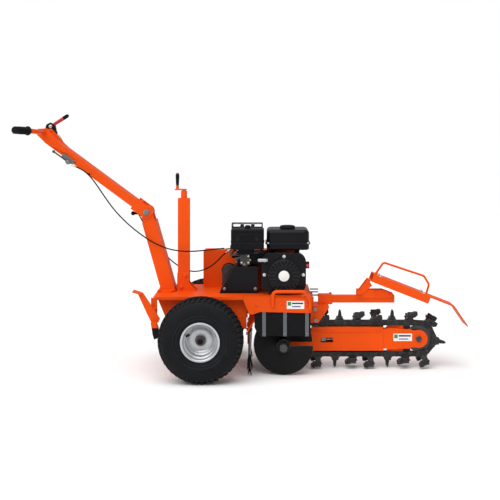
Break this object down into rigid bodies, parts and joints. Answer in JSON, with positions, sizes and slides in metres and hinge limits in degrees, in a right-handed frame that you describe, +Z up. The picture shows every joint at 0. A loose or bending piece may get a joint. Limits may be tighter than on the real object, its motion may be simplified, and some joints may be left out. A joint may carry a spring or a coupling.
{
  "type": "walk-behind trencher",
  "caption": "Two-wheeled walk-behind trencher with a petrol engine, digging chain boom, spoil auger, crumb guard, crank-set wheel jack and folding handle.",
  "frame": {"origin": "on the ground under the middle of the machine", "axes": "+X from the handle towards the nose of the digging boom, +Z up, +Y to the machine's left-hand side"},
  "size_m": [2.0719, 0.75, 1.2045],
  "materials": {
    "orange_paint": "gloss powder coat",
    "black_paint": "satin",
    "dark_steel": "oiled, dark",
    "zinc_steel": "zinc plated",
    "silver_paint": "silver lacquer",
    "rubber": "matte",
    "tyre_rubber": "matte",
    "black_plastic": "moulded",
    "gloss_black": "gloss",
    "red_plastic": "gloss",
    "cast_alloy": "black lacquered casting",
    "tooth_steel": "black"
  },
  "bodies": {
    "frame": {"deck_frame": "orange_paint", "side_plates": "orange_paint", "deflector": "orange_paint", "curtain_clamps": "dark_steel", "rubber_curtains": "rubber", "lift_handles": "orange_paint", "mast": "orange_paint", "lower_arm": "orange_paint", "fasteners": "zinc_steel", "beam_sleeve": "orange_paint", "bearings": "dark_steel", "chain_case": "orange_paint", "belt_guard": "orange_paint", "drive_cover": "black_paint", "drive_belt": "rubber", "drive_chain": "dark_steel", "engine_block": "cast_alloy", "recoil_housing": "black_paint", "fuel_tank": "black_paint", "air_cleaner": "black_plastic", "muffler": "dark_steel", "muffler_guard": "black_paint", "carburettor": "dark_steel", "throttle_cable": "rubber", "clutch_cable": "rubber"},
    "wheel_carriage": {"axle_carriage": "orange_paint", "axle_nuts": "zinc_steel"},
    "wheel_right": {"tyre_right": "tyre_rubber", "rim_right": "silver_paint"},
    "wheel_left": {"tyre_left": "tyre_rubber", "rim_left": "silver_paint"},
    "jack_crank": {"crank": "zinc_steel"},
    "jack_knob": {"crank_grip": "black_plastic"},
    "handle": {"upper_arm": "orange_paint", "handlebar": "orange_paint", "grips": "rubber", "lever_mounts": "black_plastic"},
    "clutch_lever": {"clutch_lever": "red_plastic"},
    "throttle_lever": {"throttle_lever": "dark_steel"},
    "lock_pin": {"lock_pin": "black_plastic"},
    "auger_shaft": {"head_shaft": "zinc_steel", "head_sprockets": "dark_steel", "auger": "black_paint"},
    "engine_shaft": {"crankshaft": "dark_steel"},
    "countershaft": {"jackshaft": "dark_steel"},
    "digging_boom": {"boom": "orange_paint", "tension_screw": "zinc_steel", "digging_chain": "tooth_steel", "chain_cutters": "tooth_steel"},
    "boom_nose": {"nose_slide": "orange_paint"},
    "nose_wheel": {"nose_roller": "dark_steel"},
    "guard_bar": {"guard_beam": "orange_paint"},
    "crumb_guard": {"crumb_guard": "orange_paint"},
    "wheel_lock": {"wheel_lock": "orange_paint"},
    "fuel_cap": {"fuel_cap": "black_plastic"},
    "choke": {"choke_lever": "dark_steel"},
    "starter": {"starter_grip": "gloss_black"},
    "switch": {"switch_knob": "red_plastic"},
    "oil_cap": {"oil_cap": "black_plastic"}
  },
  "joints": [
    {"name": "jack_turn", "type": "hinge", "parent": "frame", "child": "jack_crank", "pos_m": [-0.2995, 0, 0.84], "axis": [0, 0, 1], "range_deg": [0, 9010]},
    {"name": "depth_slide", "type": "slide", "parent": "frame", "child": "wheel_carriage", "axis": [0, 0, 1], "range_m": [-0.25, 0]},
    {"name": "jack_knob_spin", "type": "hinge", "parent": "jack_crank", "child": "jack_knob", "pos_m": [-0.3305, 0, 0.88], "axis": [0, 0, 1], "continuous": true},
    {"name": "wheel_right_spin", "type": "hinge", "parent": "wheel_carriage", "child": "wheel_right", "pos_m": [-0.2, -0.3, 0.1905], "axis": [0, 1, 0], "continuous": true},
    {"name": "wheel_left_spin", "type": "hinge", "parent": "wheel_carriage", "child": "wheel_left", "pos_m": [-0.2, 0.3, 0.1905], "axis": [0, 1, 0], "continuous": true},
    {"name": "handle_fold", "type": "hinge", "parent": "frame", "child": "handle", "pos_m": [-0.4735, 0, 0.738], "axis": [0, 1, 0], "range_deg": [-52, 0]},
    {"name": "clutch_squeeze", "type": "hinge", "parent": "handle", "child": "clutch_lever", "pos_m": [-0.963, 0.15, 1.145], "axis": [0, 1, 0], "range_deg": [-50, 0], "stiffness_Nm_per_rad": 1, "springref_deg": 17.19},
    {"name": "throttle_turn", "type": "hinge", "parent": "handle", "child": "throttle_lever", "pos_m": [-0.838, -0.06, 0.975], "axis": [0, 1, 0], "range_deg": [-30, 20]},
    {"name": "lock_pin_pull", "type": "slide", "parent": "handle", "child": "lock_pin", "axis": [1, 0, 0], "range_m": [0, 0.014]},
    {"name": "auger_spin", "type": "hinge", "parent": "frame", "child": "auger_shaft", "pos_m": [0.168, 0, 0.139], "axis": [0, 1, 0], "continuous": true},
    {"name": "engine_spin", "type": "hinge", "parent": "frame", "child": "engine_shaft", "pos_m": [0.171, 0, 0.455], "axis": [0, 1, 0], "continuous": true},
    {"name": "countershaft_spin", "type": "hinge", "parent": "frame", "child": "countershaft", "pos_m": [-0.09, 0, 0.446], "axis": [0, 1, 0], "continuous": true},
    {"name": "boom_swing", "type": "hinge", "parent": "frame", "child": "digging_boom", "pos_m": [0.168, 0, 0.139], "axis": [0, 1, 0], "range_deg": [0, 50]},
    {"name": "nose_tension", "type": "slide", "parent": "digging_boom", "child": "boom_nose", "axis": [1, 0, 0], "range_m": [-0.015, 0]},
    {"name": "nose_spin", "type": "hinge", "parent": "boom_nose", "child": "nose_wheel", "pos_m": [0.80959, 0, 0.139], "axis": [0, 1, 0], "continuous": true},
    {"name": "guard_reach", "type": "slide", "parent": "frame", "child": "guard_bar", "axis": [1, 0, 0], "range_m": [0, 0.03]},
    {"name": "guard_lift", "type": "hinge", "parent": "guard_bar", "child": "crumb_guard", "pos_m": [0.528, 0, 0.358], "axis": [0, 1, 0], "range_deg": [-65, 0]},
    {"name": "wheel_lock_pedal", "type": "hinge", "parent": "frame", "child": "wheel_lock", "pos_m": [-0.418, -0.228, 0.306], "axis": [0, 1, 0], "range_deg": [0, 25]},
    {"name": "fuel_cap_turn", "type": "hinge", "parent": "frame", "child": "fuel_cap", "pos_m": [0.19, -0.03, 0.668], "axis": [0, 0, 1], "range_deg": [0, 90]},
    {"name": "choke_turn", "type": "hinge", "parent": "frame", "child": "choke", "pos_m": [-0.02, -0.114, 0.536], "axis": [0, 1, 0], "range_deg": [0, 40]},
    {"name": "starter_pull", "type": "slide", "parent": "frame", "child": "starter", "axis": [-0.7071, -0.5, 0.5], "range_m": [0, 0.6], "stiffness_N_per_m": 10, "springref_m": -0.3},
    {"name": "switch_turn", "type": "hinge", "parent": "frame", "child": "switch", "pos_m": [0.2805, -0.14, 0.5], "axis": [0, 1, 0], "range_deg": [0, 60]},
    {"name": "oil_cap_turn", "type": "hinge", "parent": "frame", "child": "oil_cap", "pos_m": [0.078, -0.076, 0.412], "axis": [-1, 0, 0], "range_deg": [0, 720]}
  ],
  "couplings": [
    {"joint": "jack_turn", "follows": "depth_slide", "rad_per_m": -628.32},
    {"joint": "engine_spin", "follows": "auger_spin", "ratio": 6.3088},
    {"joint": "countershaft_spin", "follows": "auger_spin", "ratio": 2.75},
    {"joint": "nose_spin", "follows": "auger_spin", "ratio": 1}
  ]
}
